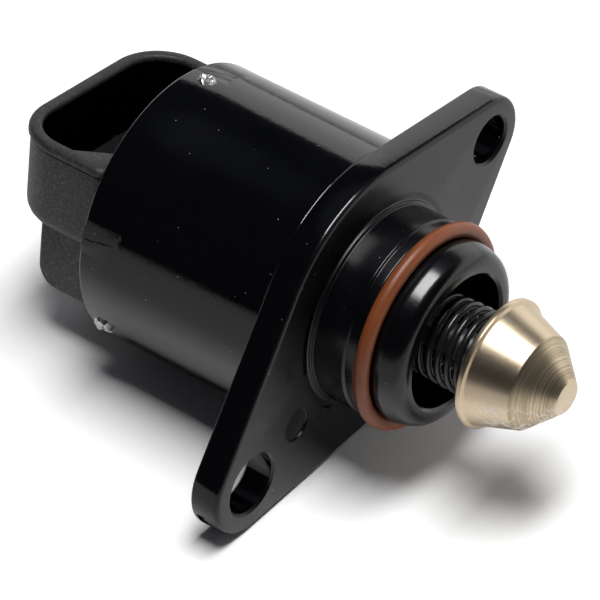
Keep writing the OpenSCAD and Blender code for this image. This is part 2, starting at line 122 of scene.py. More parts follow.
class Finish:
    def __init__(self, tree):
        self.tree = tree
        tree.nodes.clear()

    def put(self, target, value):
        if isinstance(value, Wire):
            self.tree.links.new(value.socket, target)
        else:
            target.default_value = value

    def node(self, kind, settings=None, values=None, out=0):
        made = self.tree.nodes.new(kind)
        for key, value in (settings or {}).items():
            if key == "stops":
                ramp = made.color_ramp.elements
                while len(ramp) < len(value):
                    ramp.new(0.5)
                for stop, (place, colour) in zip(ramp, value):
                    stop.position, stop.color = place, (*colour, 1)
            else:
                setattr(made, key, value)
        for key, value in (values or {}).items():
            self.put(made.inputs[key], value)
        return Wire(self, made.outputs[out]) if len(made.outputs) else made

    def sum(self, operation, first, second=0.0):
        return self.node("ShaderNodeMath", {"operation": operation}, {0: first, 1: second})

    def place(self):
        """The spot on the piece, in metres along its own axes."""
        return self.node("ShaderNodeTexCoord", out="Object")

    def axes(self):
        spot = self.place()
        return [self.node("ShaderNodeSeparateXYZ", None, {0: spot}, out=i) for i in range(3)]

    def grain(self, size, detail=3.0, rough=0.5, stretch=(1, 1, 1)):
        """Cloudy noise with blots of about the given size in millimetres."""
        spot = self.node("ShaderNodeMapping", None, {"Vector": self.place(), "Scale": stretch})
        values = {"Vector": spot, "Scale": 1 / (size * MM), "Detail": detail, "Roughness": rough}
        return self.node("ShaderNodeTexNoise", None, values)

    def specks(self, spacing, radius):
        """1 inside small round dots, one to a cell of the given spacing, both in millimetres."""
        values = {"Vector": self.place(), "Scale": 1 / (spacing * MM)}
        edge = radius / spacing
        return 1 - self.node("ShaderNodeTexVoronoi", None, values).above(edge, 0.3 * edge)

    def blend(self, share, first, second):
        first, second = [c if isinstance(c, Wire) else (*c, 1) for c in (first, second)]
        return self.node("ShaderNodeMix", {"data_type": "RGBA"}, {0: share, 6: first, 7: second}, out=2)

    def bump(self, height, depth, under=None):
        """A normal from a height of 0 to 1 that stands for a depth in millimetres."""
        values = {"Height": height, "Distance": depth * MM, "Strength": 1.0}
        if under:
            values["Normal"] = under
        return self.node("ShaderNodeBump", None, values, out="Normal")

    def shade(self, painted_shade_share=None, **sockets):
        """Ends the web in a Principled shader. Underscores in the names stand for spaces, and
        painted_shade_share is the share of plain black mixed in as painted shade, for a place no light comes
        out of."""
        values = {key.replace("_", " "): value for key, value in sockets.items()}
        values = {k: (*v, 1) if isinstance(v, tuple) and len(v) == 3 else v for k, v in values.items()}
        surface = self.node("ShaderNodeBsdfPrincipled", None, values)
        if painted_shade_share:
            black = self.node("ShaderNodeBsdfDiffuse", None, {"Color": (0.0006, 0.0006, 0.0007, 1)})
            surface = self.node("ShaderNodeMixShader", None, {0: painted_shade_share, 1: surface, 2: black})
        self.node("ShaderNodeOutputMaterial", None, {0: surface})


def new_finish(name):
    material = bpy.data.materials.new(name)
    material.use_nodes = True
    return material, Finish(material.node_tree)


print("shader helpers ready")

# %% [markdown]
# ## The table and the light
#
# The valve lies on the straight lower side of its flange and on the rear rim of its can, so the white table
# is turned against the valve's own frame. Black gloss paint shows its surroundings more than itself:
# a bright wall behind the valve gives the pale band along its top, the dark room above gives the black
# middle, and the white table gives the grey band below. The world shader holds that room.

# %% Table
CAN_R, CAN_REAR = 18.0, 30.8
FLANGE_TURN, FLANGE_BEND = math.radians(35.3), math.radians(-3.3)
HOLE_LOW_D, HOLE_UP_D, LOBE_LOW_R, LOBE_UP_R = 26.6, 24.6, 6.6, 5.6
FLANGE_T = 4.0
FLANGE_R = 18.6
foot = FLANGE_TURN + math.pi + math.acos((FLANGE_R - LOBE_LOW_R) / HOLE_LOW_D)
down = Vector((0, math.cos(foot), math.sin(foot)))
tilt = math.atan2(FLANGE_R - CAN_R, CAN_REAR - FLANGE_T)
TABLE_UP = Vector((math.sin(tilt), 0, 0)) - down * math.cos(tilt)
TABLE_SPOT = (Vector((-FLANGE_T, 0, 0)) + down * (FLANGE_R + 0.02)) * MM
bpy.ops.mesh.primitive_plane_add(size=3.2)
table = bpy.context.object
table.name = "table"
turn_up = Vector((0, 0, 1)).rotation_difference(TABLE_UP).to_matrix().to_4x4()
table.data.transform(Matrix.Translation(TABLE_SPOT) @ turn_up)
material, f = new_finish("table")
y = f.axes()[1]
# Painted shade: in gloss and in bounced light the table is darker on its -Y side away from the valve, and
# near black far out there. The camera sees it evenly white.
table_painted_shade = f.blend(y.above(-0.032, 0.010), (0.6, 0.6, 0.6), (0.95, 0.95, 0.945))
table_painted_shade = f.blend(y.above(-0.25, 0.12), (0.02, 0.02, 0.02), table_painted_shade)
seen = f.node("ShaderNodeLightPath", out="Is Camera Ray")
shown = f.blend(seen, table_painted_shade, (1.28, 1.28, 1.27))
f.node("ShaderNodeOutputMaterial", None, {0: f.node("ShaderNodeBsdfDiffuse", None, {"Color": shown})})
table.data.materials.append(material)
print("table up", [round(v, 3) for v in TABLE_UP])

# %% Room
WALL_TOP = math.radians(41)
world = bpy.data.worlds.new("studio")
bpy.context.scene.world = world
world.use_nodes = True
f = Finish(world.node_tree)
way = f.node("ShaderNodeTexCoord", out="Generated")
wall_side = f.node("ShaderNodeVectorMath", {"operation": "DOT_PRODUCT"},
                   {0: way, 1: (0, math.sin(WALL_TOP), -math.cos(WALL_TOP))}, out="Value")
wall = wall_side.above(0.0, 0.02)
ceiling = f.node("ShaderNodeSeparateXYZ", None, {0: way}, out=2).above(0.83, 0.05)
dark = f.blend(ceiling, (0.014, 0.015, 0.018), (0.08, 0.085, 0.115))
room_light = f.blend(wall, dark, (1.12, 1.12, 1.11))
camera_sees = f.node("ShaderNodeLightPath", out="Is Camera Ray")
f.node("ShaderNodeOutputWorld", None, {0: f.node("ShaderNodeBackground", None, {
    0: f.blend(camera_sees, room_light, (1, 1, 1)), 1: 1.0})})
bpy.context.scene.view_settings.view_transform = "Standard"


def lamp(name, spot, aim, size, power, shows=True):
    """A soft rectangular lamp; one that doesn't show leaves no mirror image on gloss."""
    data = bpy.data.lights.new(name, "AREA")
    data.shape, data.size, data.size_y, data.energy = "RECTANGLE", size[0], size[1], power
    made = bpy.data.objects.new(name, data)
    bpy.context.scene.collection.objects.link(made)
    made.location = spot
    back = (Vector(spot) - Vector(aim)).normalized()
    across = (Vector((1, 0, 0)) - back * back.x).normalized()
    made.rotation_mode = "QUATERNION"
    made.rotation_quaternion = Matrix((across, back.cross(across), back)).transposed().to_quaternion()
    made.visible_glossy = shows
    return made


lamp("overhead", (0.07, -0.11, 0.74), (0, 0, 0), (0.22, 0.46), 5.0)
print("room and lamps ready")

# %% [markdown]
# ## Finishes
#
# Each finish starts from what the surface is: stoved black enamel on the casting, yellow zinc plating on
# the turned pintle, brown rubber for the ring, moulded plastic for the plug socket. The colour comes first,
# then the roughness that decides how sharp its reflections are, then a fine bump for the texture.

# %% Black enamel
enamel, f = new_finish("black_enamel")
cloud = f.grain(5.0, 4)
peel = f.grain(0.55, 2)
dust = f.specks(1.7, 0.055).at_least(f.specks(3.1, 0.09))
blotch = f.grain(1.1, 5, 0.7)
colour = f.blend(cloud, (0.0012, 0.0014, 0.002), (0.003, 0.0032, 0.0045))
x = f.axes()[0]
front = x.above(-0.0004, 0.0002) * (1 - x.above(0.0007, 0.0002))
turned_end = x.above(0.0009, 0.0002)
gloss = 0.04 + cloud * 0.06 + blotch * 0.06 + dust * 0.5
f.shade(Base_Color=f.blend(dust, colour, (0.35, 0.35, 0.34)), IOR=1.52,
        Roughness=gloss + front * (0.1 + cloud * 0.2) + turned_end * (0.05 + cloud * 0.1),
        Normal=f.bump(peel + blotch * 2 + dust * 2, 0.004))

# %% Brown rubber
brown_rubber, f = new_finish("brown_rubber")
cloud, fine = f.grain(3.0, 3), f.grain(0.12, 3)
colour = f.blend(cloud, (0.20, 0.049, 0.013), (0.29, 0.082, 0.025))
f.shade(Base_Color=colour, Roughness=0.33 + fine * 0.16, IOR=1.5, Normal=f.bump(fine, 0.008))

# %% [markdown]
# ### Zinc on the pintle
#
# Yellow zinc is a metal with a thin stained film, so its colour drifts from straw to tan. The lathe leaves
# rings round the axis: a noise that changes fast along the axis and hardly round it, with a slow wander
# that keeps them from being perfect. They darken the steep cone. Thin pale scuffs mark the lower side.

# %% Yellow zinc
zinc, f = new_finish("yellow_zinc")
x, y, z = f.axes()
radius = f.sum("SQRT", y * y + z * z)
wander = f.grain(3.5, 2) * 0.0006
along = f.node("ShaderNodeCombineXYZ", None, {0: x + wander, 1: radius * 0.3, 2: 0.0})
rings = {"Vector": along, "Scale": 5200.0, "Detail": 3.0, "Roughness": 0.7}
lathe = f.node("ShaderNodeTexNoise", None, rings)
cloud, grit = f.grain(2.6, 4), f.grain(0.35, 3)
steep = x.above(23.7 * MM, 0.25 * MM) * (1 - x.above(27.75 * MM, 0.05 * MM))
colour = f.blend(cloud, (0.76, 0.65, 0.46), (0.83, 0.64, 0.47))
colour = f.blend(lathe * 0.25, colour, (0.34, 0.3, 0.18))
colour = f.blend(steep * (0.08 + lathe.above(0.5, 0.14) * 0.5), colour, (0.20, 0.165, 0.09))
low = (1 - z.above(-0.0012, 0.002)) * x.above(0.0205, 0.0015)
scuffs = low * (1 - f.sum("ABSOLUTE", f.grain(1.9, 4) - 0.5).above(0.03, 0.022))
colour = f.blend(scuffs * 0.8, colour, (0.92, 0.9, 0.87))
height = lathe * (0.35 + steep * 0.65) + cloud * 0.2
f.shade(Base_Color=colour, Metallic=1.0, Roughness=0.26 + grit * 0.1 + steep * 0.05 + scuffs * 0.3,
        Normal=f.bump(height, 0.012))

# %% Spring wire, bare steel and bearing steel
spring_wire, f = new_finish("spring_wire")
fine = f.grain(0.3, 3)
f.shade(Base_Color=f.blend(fine, (0.006, 0.006, 0.007), (0.02, 0.02, 0.02)), Roughness=0.16 + fine * 0.14,
        Normal=f.bump(fine, 0.01))

steel, f = new_finish("plain_steel")
cloud, fine = f.grain(1.8, 3), f.grain(0.2, 3, stretch=(0.2, 1, 1))
f.shade(Base_Color=f.blend(cloud, (0.5, 0.5, 0.5), (0.66, 0.655, 0.64)), Metallic=1.0,
        Roughness=0.25 + fine * 0.25, Normal=f.bump(fine, 0.006))

bearing_steel, f = new_finish("bearing_steel")
fine = f.grain(0.15, 2)
f.shade(Base_Color=(0.68, 0.69, 0.7), Metallic=1.0, Roughness=0.08 + fine * 0.1, Normal=f.bump(fine, 0.002))

# %% [markdown]
# ### Moulded plastic
#
# The cap is glass-filled plastic. Its mould was spark-eroded, so the skin is dull and covered in tiny grains,
# and a few fibres and dust specks show lighter. A coarse and a fine noise are added for the bump. Deep in the
# socket's pocket a share of plain black is mixed in as painted shade, a little less on the ledge.

# %% Plastics
cap_plastic, f = new_finish("cap_plastic")
cloud, grain, fine = f.grain(4.0, 3), f.grain(0.28, 2), f.grain(0.09, 2)
dust = f.specks(0.9, 0.07).at_least(f.specks(2.3, 0.11))
x, y, z = f.axes()
# Painted shade: the masks below find the deep pocket of the socket, which is mixed toward plain black, less
# so on the ledge.
back, side = (-0.0393 - x).at_least(0.0), (f.sum("ABSOLUTE", y) - 0.0072).at_least(0.0)
walls = 1 - f.sum("SQRT", back * back + side * side).above(0.0059, 0.0003)
inside = walls * z.above(-0.0013, 0.0002) * (1 - z.above(0.0096, 0.0003))
deep = inside * (1 - x.above(-0.0324, 0.0004))
ledge = deep * x.above(-0.0363, 0.0002) * z.above(0.0086, 0.0003)
pocket_painted_shade = deep - ledge * 0.12
worn = f.grain(0.42, 5, 0.8).above(0.56, 0.1)
rim = z.above(0.0098, 0.0003)
colour = f.blend(cloud * 0.5 + grain * 0.5, (0.014, 0.014, 0.014), (0.042, 0.042, 0.041))
colour = f.blend(worn * 0.75, colour, (0.125, 0.125, 0.12))
colour = f.blend(rim * 0.55, colour, (0.006, 0.006, 0.006))
f.shade(painted_shade_share=pocket_painted_shade, Base_Color=f.blend(dust, colour, (0.16, 0.16, 0.155)),
        Roughness=0.42 + grain * 0.22, IOR=1.5,
        Normal=f.bump(grain * 0.7 + fine * 0.3, 0.05))

pale_plastic, f = new_finish("pale_plastic")
fine = f.grain(0.3, 3)
f.shade(Base_Color=f.blend(fine, (0.62, 0.58, 0.48), (0.72, 0.69, 0.58)), Roughness=0.45 + fine * 0.1,
        Normal=f.bump(fine, 0.008))

# %% Metals and rubber inside
brass, f = new_finish("bush_brass")
fine = f.grain(0.25, 3)
f.shade(Base_Color=f.blend(fine, (0.46, 0.28, 0.09), (0.58, 0.38, 0.14)), Metallic=1.0,
        Roughness=0.28 + fine * 0.2, Normal=f.bump(fine, 0.01))

magnet, f = new_finish("magnet")
fine = f.grain(0.2, 3)
f.shade(Base_Color=f.blend(fine, (0.02, 0.018, 0.02), (0.04, 0.036, 0.038)), Roughness=0.5 + fine * 0.25,
        Normal=f.bump(fine, 0.02))

copper, f = new_finish("winding_copper")
x, y, z = f.axes()
turns = f.sum("SINE", x * (2 * math.pi / (0.2 * MM)), 0.0)
fine = f.grain(0.4, 2)
# Painted shade and painted highlight: the colour goes dark in the creases between the wire's turns and light
# on their crests, along with the bump.
f.shade(Base_Color=f.blend(turns * 0.5 + 0.5, (0.2, 0.05, 0.015), (0.48, 0.16, 0.06)), Metallic=0.8,
        Roughness=0.25 + fine * 0.15, Normal=f.bump(turns, 0.03))

black_rubber, f = new_finish("black_rubber")
fine = f.grain(0.15, 3)
f.shade(Base_Color=f.blend(fine, (0.012, 0.012, 0.012), (0.025, 0.025, 0.024)), Roughness=0.5 + fine * 0.2,
        Normal=f.bump(fine, 0.01))

tin, f = new_finish("terminal_tin")
fine = f.grain(0.25, 3)
f.shade(Base_Color=f.blend(fine, (0.6, 0.58, 0.52), (0.74, 0.72, 0.66)), Metallic=1.0,
        Roughness=0.22 + fine * 0.2, Normal=f.bump(fine, 0.008))
print("finishes", len(bpy.data.materials))

# %% [markdown]
# ### Finishes on the CAD solids
#
# The parts inside the can keep their CAD meshes and only get their finish. They show when someone opens
# the model, and the seat and the bush can be seen behind the spring.

# %% CAD solids
CAD_FINISH = {"spring_seat": steel, "pintle_shaft": steel, "guide_bush": brass,
              "bearing_outer_race": bearing_steel, "bearing_inner_race": bearing_steel,
              "bearing_balls": bearing_steel, "rotor_hub": pale_plastic, "rotor_magnet": magnet,
              "front_outer_pole": steel, "front_inner_pole": steel, "rear_inner_pole": steel,
              "rear_outer_pole": steel, "front_bobbin": pale_plastic, "rear_bobbin": pale_plastic,
              "front_winding": copper, "rear_winding": copper, "thrust_washer": steel, "rear_bush": brass,
              "rear_seal": black_rubber}
for node, finish in CAD_FINISH.items():
    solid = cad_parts[node]
    for slot in solid.material_slots:
        slot.material = finish
    if not solid.material_slots:
        solid.data.materials.append(finish)

# %% [markdown]
# ## Tools of the bench
#
# Most of the valve is turned, so the main tool is a lathe: a circle's points are moved onto a closed
# outline of places along and radii about the X axis, and the outline is spun round. Sharp corners of
# an outline are given arcs first, because real corners catch the light. The other tools raise a prism
# from an outline, round chosen edges, and cut one shape with another.

# %% Bench tools
def alone(piece=None):
    bpy.ops.object.select_all(action="DESELECT")
    if piece:
        piece.select_set(True)
        bpy.context.view_layer.objects.active = piece


def rounded(points, steps=6):
    """Gives an arc to each corner that has a third number, its radius."""
    out = []
    for i, point in enumerate(points):
        here = Vector(point[:2])
        if len(point) < 3:
            out.append(tuple(here))
            continue
        back = (Vector(points[i - 1][:2]) - here).normalized()
        on = (Vector(points[(i + 1) % len(points)][:2]) - here).normalized()
        half = back.angle(on) / 2
        centre = here + (back + on).normalized() * (point[2] / math.sin(half))
        reach = point[2] / math.tan(half)
        start, end = here + back * reach - centre, here + on * reach - centre
        first = math.atan2(start.y, start.x)
        sweep = (math.atan2(end.y, end.x) - first + math.pi) % (2 * math.pi) - math.pi
        for k in range(steps + 1):
            angle = first + sweep * k / steps
            out.append((centre.x + point[2] * math.cos(angle), centre.y + point[2] * math.sin(angle)))
    return out


def outline_piece(points, fill="NOTHING"):
    """A circle whose points are moved onto the given places, in millimetres."""
    alone()
    bpy.ops.mesh.primitive_circle_add(vertices=len(points), radius=MM, fill_type=fill)
    piece = bpy.context.object
    for vertex, place in zip(piece.data.vertices, points):
        vertex.co = Vector(place) * MM
    bpy.ops.object.mode_set(mode="EDIT")
    bpy.ops.mesh.select_all(action="SELECT")
    return piece


def close_up():
    """Merges doubles, drops edges without a face, turns all faces outwards and leaves edit mode."""
    bpy.ops.mesh.select_all(action="SELECT")
    bpy.ops.mesh.remove_doubles(threshold=1e-6)
    bpy.ops.mesh.delete_loose()
    bpy.ops.mesh.select_all(action="SELECT")
    bpy.ops.mesh.normals_make_consistent(inside=False)
    bpy.ops.object.mode_set(mode="OBJECT")


def turned(profile, steps=144):
    piece = outline_piece([(x, r, 0) for x, r in profile])
    bpy.ops.mesh.spin(steps=steps, angle=2 * math.pi, center=(0, 0, 0), axis=(1, 0, 0))
    close_up()
    return piece


def prism(points, rise):
    piece = outline_piece(points, "NGON")
    bpy.ops.mesh.extrude_region_move(TRANSFORM_OT_translate={"value": Vector(rise) * MM})
    close_up()
    return piece


def round_edges(piece, chosen, radius, segments=4):
    """Rounds the edges whose two ends, in millimetres, pass the test."""
    alone(piece)
    bpy.ops.object.mode_set(mode="EDIT")
    bpy.ops.mesh.select_mode(type="EDGE")
    bpy.ops.mesh.select_all(action="DESELECT")
    mesh = bmesh.from_edit_mesh(piece.data)
    count = 0
    for edge in mesh.edges:
        if chosen(edge.verts[0].co / MM, edge.verts[1].co / MM):
            edge.select_set(True)
            count += 1
    bmesh.update_edit_mesh(piece.data)
    bpy.ops.mesh.bevel(offset=radius * MM, segments=segments, profile=0.5, affect="EDGES")
    bpy.ops.object.mode_set(mode="OBJECT")
    return count


def slab(corner, size, radius, segments=3):
    """A box from its lowest corner and its size in millimetres, with all its edges rounded."""
    alone()
    bpy.ops.mesh.primitive_cube_add(size=1)
    piece = bpy.context.object
    middle = Vector(corner) + Vector(size) / 2
    piece.data.transform(Matrix.Translation(middle * MM) @ Matrix.Diagonal((*[v * MM for v in size], 1)))
    round_edges(piece, lambda a, b: True, radius, segments)
    return piece


def carve(piece, tool, operation="DIFFERENCE"):
    alone(piece)
    step = piece.modifiers.new("carve", "BOOLEAN")
    step.object, step.operation, step.solver = tool, operation, "EXACT"
    bpy.ops.object.modifier_apply(modifier=step.name)
    bpy.data.objects.remove(tool)


def shift(piece, turn=0.0, by=(0, 0, 0)):
    """Moves a mesh, in millimetres, and then turns it about the X axis, in radians."""
    piece.data.transform(Matrix.Rotation(turn, 4, "X") @ Matrix.Translation(Vector(by) * MM))
    return piece


def join(*pieces):
    alone(pieces[0])
    for piece in pieces:
        piece.select_set(True)
    bpy.ops.object.join()
    return pieces[0]


def settle(piece, name, finish, nodes=(), body="valve_body", angle=32):
    """Names a finished piece, shades it and hangs it on its body in place of its CAD solids."""
    piece.name = piece.data.name = name
    alone(piece)
    bpy.ops.object.shade_smooth_by_angle(angle=math.radians(angle))
    piece.data.materials.clear()
    piece.data.materials.append(finish)
    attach(piece, body)
    if nodes:
        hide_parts(*nodes)
    print(name, len(piece.data.polygons), "faces")


print("bench ready")

# %% [markdown]
# ## Can, boss and nose
#
# The casting is one piece in life. Here its round part is turned in one go: the rolled rear rim, the can
# with a fillet against the flange, the low collar, the boss with its tapered end, the groove for the ring and
# the rounded nose with its bore.

# %% The turned part of the housing
BOSS_R, BOSS_H, LEAD_END, LEAD_R, GROOVE_END, GROOVE_R = 12.6, 4.7, 6.2, 12.3, 8.5, 11.45
NOSE_R, NOSE_END, BORE_R = 11.7, 12.1, 8.6
SHOULDER, FRONT_ROUND = 2, 1.92


def round_part(x, r, radius, angles):
    """Profile points on an arc about the centre (x, r), with angles in degrees from the radial line."""
    turns = [math.radians(a) for a in angles]
    return [(x + radius * math.sin(a), r + radius * math.cos(a)) for a in turns]


nose = round_part(NOSE_END - 2.9, NOSE_R - SHOULDER, SHOULDER, [4 * i for i in range(5)])
nose += round_part(NOSE_END - FRONT_ROUND, 9.5, FRONT_ROUND, [16 + 7.4 * i for i in range(11)])
profile = rounded([
    (-29.9, 15.6), (-CAN_REAR, 15.6, 0.2), (-CAN_REAR, CAN_R, 0.45), (-25.0, CAN_R), (-24.6, CAN_R),
    (-FLANGE_T, CAN_R, 0.5),
    (-FLANGE_T + 0.05, 18.55), (-3.0, 18.3), (-1.0, 15.0), (0.0, 14.0), (0.0, 13.05, 0.22),
    (0.4, 13.05, 0.14), (0.4, BOSS_R, 0.12), (BOSS_H, BOSS_R, 0.2), (BOSS_H + 0.2, LEAD_R + 0.08, 0.2),
    (LEAD_END, LEAD_R, 0.2), (LEAD_END, GROOVE_R), (GROOVE_END, GROOVE_R), (GROOVE_END, NOSE_R - 0.15),
    (GROOVE_END + 0.03, NOSE_R - 0.03)] + nose + [(NOSE_END, 8.95, 0.1),
    (NOSE_END - 0.35, BORE_R, 0.15), (2.0, BORE_R, 0.2), (2.0, 3.15), (0.8, 3.15), (0.8, 6.4), (0.3, 6.4),
    (0.3, 8.0), (-4.5, 8.0), (-4.5, 16.2), (-29.9, 16.2)])
casting = turned(profile)
print("turned housing", len(casting.data.polygons))

# %% [markdown]
# Four shallow flats were pressed into the can's rear end when the cap was crimped in. Each is cut by a box
# whose inner face lies a little under the can's surface.

# %% Crimp flats
FLATS = [(76.9, -25.9), (169.6, -25.4), (256.0, -25.6), (346.0, -25.6)]
for angle, end in FLATS:
    box = slab((-32.5, -4.0, CAN_R - 0.15), (end + 32.5, 8.0, 2.0), 0.12, 2)
    carve(casting, shift(box, turn=math.radians(angle - 90)))

# %% [markdown]
# The press also cracked the paint in two of the flats. The cracks are short thin cuts that step sideways.

# %% Cracks
CRACKS = [(169.4, [(-30.4, 1.3, -0.30, 0.14), (-29.2, 0.9, -0.12, 0.09), (-28.4, 1.0, 0.06, 0.16),
                   (-27.6, 0.8, 0.22, 0.12), (-26.9, 0.7, 0.36, 0.07)]),
          (75.7, [(-28.3, 1.3, 0.0, 0.07), (-27.1, 1.2, 0.06, 0.09)])]
for angle, cuts in CRACKS:
    for start, length, across, width in cuts:
        cut = slab((start, across - width / 2, CAN_R - 0.6), (length, width, 1.0), 0.02, 1)
        carve(casting, shift(cut, turn=math.radians(angle - 90)))

# %% [markdown]
# ## Flange
#
# The flange is a plate with a lobe at each bolt hole. Its outline is three arcs joined by straight tangents.
# The front edge is well rounded, the back edge only a little, and the holes have a small countersink.

# %% Flange plate
def arc(centre, radius, start, end, steps):
    """Places on an arc in the plane of the flange, with angles in degrees."""
    angles = [math.radians(start + (end - start) * i / steps) for i in range(steps + 1)]
    return [(centre[0] + radius * math.cos(a), centre[1] + radius * math.sin(a)) for a in angles]


up_d, bend = HOLE_UP_D - 0.1, math.degrees(FLANGE_BEND)
up = 90 - math.degrees(math.asin((FLANGE_R - LOBE_UP_R) / up_d))
low = 90 - math.degrees(math.asin((FLANGE_R - LOBE_LOW_R) / HOLE_LOW_D))
up_spot = (up_d * math.cos(FLANGE_BEND), up_d * math.sin(FLANGE_BEND))
flat = (arc(up_spot, LOBE_UP_R, bend - up, bend + up, 40) + arc((0, 0), FLANGE_R, bend + up, 180 - low, 28)
        + arc((-HOLE_LOW_D, 0), LOBE_LOW_R, 180 - low, 180 + low, 40)
        + arc((0, 0), FLANGE_R, 180 + low, 360 + bend - up, 28))
flange = prism([(-FLANGE_T, u, v) for u, v in flat], (FLANGE_T, 0, 0))
round_edges(flange, lambda a, b: min(a.x, b.x) > -0.01, 0.7, 6)
round_edges(flange, lambda a, b: max(a.x, b.x) < -FLANGE_T + 0.01, 0.3, 3)


def bolt_hole(radius, chamfer):
    out = radius + chamfer
    return turned([(-4.7, 0), (-4.7, out + 0.7), (-4.0, out), (-4.0 + chamfer, radius), (-chamfer, radius),
                   (0, out), (0.7, out + 0.7), (0.7, 0)], 96)


carve(flange, shift(bolt_hole(3.95, 0.3), by=(0, -HOLE_LOW_D, 0)))
carve(flange, shift(shift(bolt_hole(3.12, 0.3), by=(0, HOLE_UP_D, 0)), turn=FLANGE_BEND))
mark = turned(rounded([(-0.3, 0), (-0.3, 2.2, 0.15), (1, 2.2), (1, 0)], 3), 48)
carve(flange, shift(shift(mark, by=(0, -17.6, 0)), turn=math.radians(2.9)))
notch = slab((-3.3, -HOLE_LOW_D - LOBE_LOW_R - 0.35, -1.3), (1.4, 0.7, 2.6), 0.12, 2)
carve(flange, notch)
shift(flange, turn=FLANGE_TURN)
casting = join(casting, flange)
settle(casting, "cast_housing", enamel, ["housing"])

# %% [markdown]
# ## Stakes
#
# Three punch marks roll the can's rim over the cap. The punch breaks the paint and leaves bright steel:
# a pit with a ragged raised rim. One is made from a disc whose rings are pushed up and down with noise.

# %% Stakes
def stake(angle, seed, x=-27.9, size=1.0):
    alone()
    bpy.ops.mesh.primitive_circle_add(vertices=24, radius=1.35 * MM, fill_type="TRIFAN")
    piece = bpy.context.object
    bpy.ops.object.mode_set(mode="EDIT")
    bpy.ops.mesh.select_all(action="SELECT")
    bpy.ops.mesh.subdivide(number_cuts=5)
    bpy.ops.object.mode_set(mode="OBJECT")
    for vertex in piece.data.vertices:
        far = vertex.co.length / MM
        wild = noise.noise(vertex.co / (0.55 * MM) + Vector((seed, 0, 0)))
        pit = math.exp(-(((vertex.co - Vector((0.35, -0.25, 0)) * MM).length / MM) / 0.38) ** 2)
        dome = math.sqrt(max(0.0, 1 - (far / 1.32) ** 2))
        vertex.co.z = (-0.12 + 0.62 * dome * (1 + 0.7 * wild) - 0.75 * pit) * MM
        vertex.co.x *= 1 + 0.22 * wild
        vertex.co.y *= 0.85 - 0.2 * wild
    piece.data.transform(Matrix.Translation((x * MM, 0, (CAN_R - 0.02) * MM)) @ Matrix.Scale(size, 4))
    piece.data.transform(Matrix.Rotation(math.radians(angle - 90), 4, "X"))
    return piece


stakes = join(stake(87.5, 0.0), stake(213.5, 3.7, -28.5, 1.2), stake(330, 7.4))
settle(stakes, "rim_stakes", steel, angle=12)

# %% [markdown]
# ## Sealing ring
#
# A moulded ring has a round section and a faint seam where the two halves of its mould met.

# %% Sealing ring
RING_X, RING_C, RING_TUBE = 7.35, 12.4, 0.95
section = []
for i in range(36):
    angle = 2 * math.pi * i / 36
    size = RING_TUBE + (0.035 if i == 9 else 0.0)
    section.append((RING_X + size * math.cos(angle), RING_C + size * math.sin(angle)))
ring = turned(section, 160)
settle(ring, "sealing_ring", brown_rubber, ["o_ring"], angle=60)

# %% [markdown]
# ## Return spring
#
# A wire section is swept along a helix by a Screw modifier, in an even pitch. The turns at both ends are
# then closed up: each point's place along the axis is looked up from its number of turns.

# %% Return spring
WIRE_R, SPRING_OUT, TURNS, SEAT_X, POCKET_X = 0.45, 5.5, 10.5, 2.6, 19.7
closed = 2 * WIRE_R + 0.02
pitch = (POCKET_X - SEAT_X - 2 * WIRE_R - 2 * closed) / TURNS
total = TURNS + 2


def along_spring(turns):
    if turns < 1:
        return turns * closed
    return closed + min(turns - 1, TURNS) * pitch + max(turns - 1 - TURNS, 0) * closed


wire = [(WIRE_R * math.cos(a), SPRING_OUT - WIRE_R + WIRE_R * math.sin(a), 0)
        for a in [2 * math.pi * i / 12 for i in range(12)]]
spring = outline_piece(wire)
bpy.ops.object.mode_set(mode="OBJECT")
step = spring.modifiers.new("coil", "SCREW")
step.axis, step.angle, step.iterations = "X", 2 * math.pi * total, 1
step.steps = step.render_steps = int(total * 36)
step.screw_offset = total
bpy.ops.object.modifier_apply(modifier=step.name)
for vertex in spring.data.vertices:
    swept = (math.atan2(vertex.co.z, vertex.co.y)) / (2 * math.pi)
    turns = round(vertex.co.x - swept) + swept
    turns = min(max(turns, 0), total)
    across = vertex.co.x - turns
    vertex.co.x = (SEAT_X + WIRE_R + along_spring(turns)) * MM + across
alone(spring)
bpy.ops.object.mode_set(mode="EDIT")
bpy.ops.mesh.select_all(action="SELECT")
bpy.ops.mesh.fill_holes(sides=0)
close_up()
reach = [vertex.co.x / MM for vertex in spring.data.vertices]
print("spring", round(min(reach), 2), round(max(reach), 2))
settle(spring, "coil_spring", spring_wire, ["return_spring"], angle=60)
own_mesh(spring)

# %% [markdown]
# ## Pintle
#
# The pintle is turned from bar: a rim that fits the nose bore, a shallow cone, a steep cone and a small
# flat tip. A fine groove parts the rim from the cone.

# %% Pintle
PINTLE_X = 17.7
profile = rounded([
    (PINTLE_X, 6.0, 0.2), (PINTLE_X, 8.25, 0.25), (PINTLE_X + 0.8, 8.25, 0.2), (PINTLE_X + 0.92, 7.72, 0.08),
    (PINTLE_X + 1.2, 7.62, 0.1), (PINTLE_X + 6.1, 6.0, 0.5), (PINTLE_X + 10.2, 2.1, 0.2),
    (PINTLE_X + 10.2, 0)]
    + [(PINTLE_X + 5.8, 0), (PINTLE_X + 5.8, 2.0), (PINTLE_X + 2.0, 2.0), (PINTLE_X + 2.0, 6.0)])
pintle = turned(profile)
settle(pintle, "turned_pintle", zinc, ["pintle"], body="pintle", angle=25)

# %% [markdown]
# ## Plug socket
#
# The socket is lofted: a closed outline is raised ring by ring, and each ring has its own height and inset.
# The rings climb the outside wall, roll over the rim and go down into the pocket. Next to the can the
# wall is thick, so there the pocket starts with a ledge.

# %% Plug socket
SOCKET_X0, SOCKET_X1, SOCKET_HALF, SOCKET_R = -45.9, -31.4, 13.8, 6.6
SOCKET_LOW, SOCKET_TOP, SOCKET_WALL, SOCKET_LEDGE, SOCKET_FLOOR, FOOT_ROUND = -2.5, 10.2, 1.4, 4.6, -1.0, 2.4


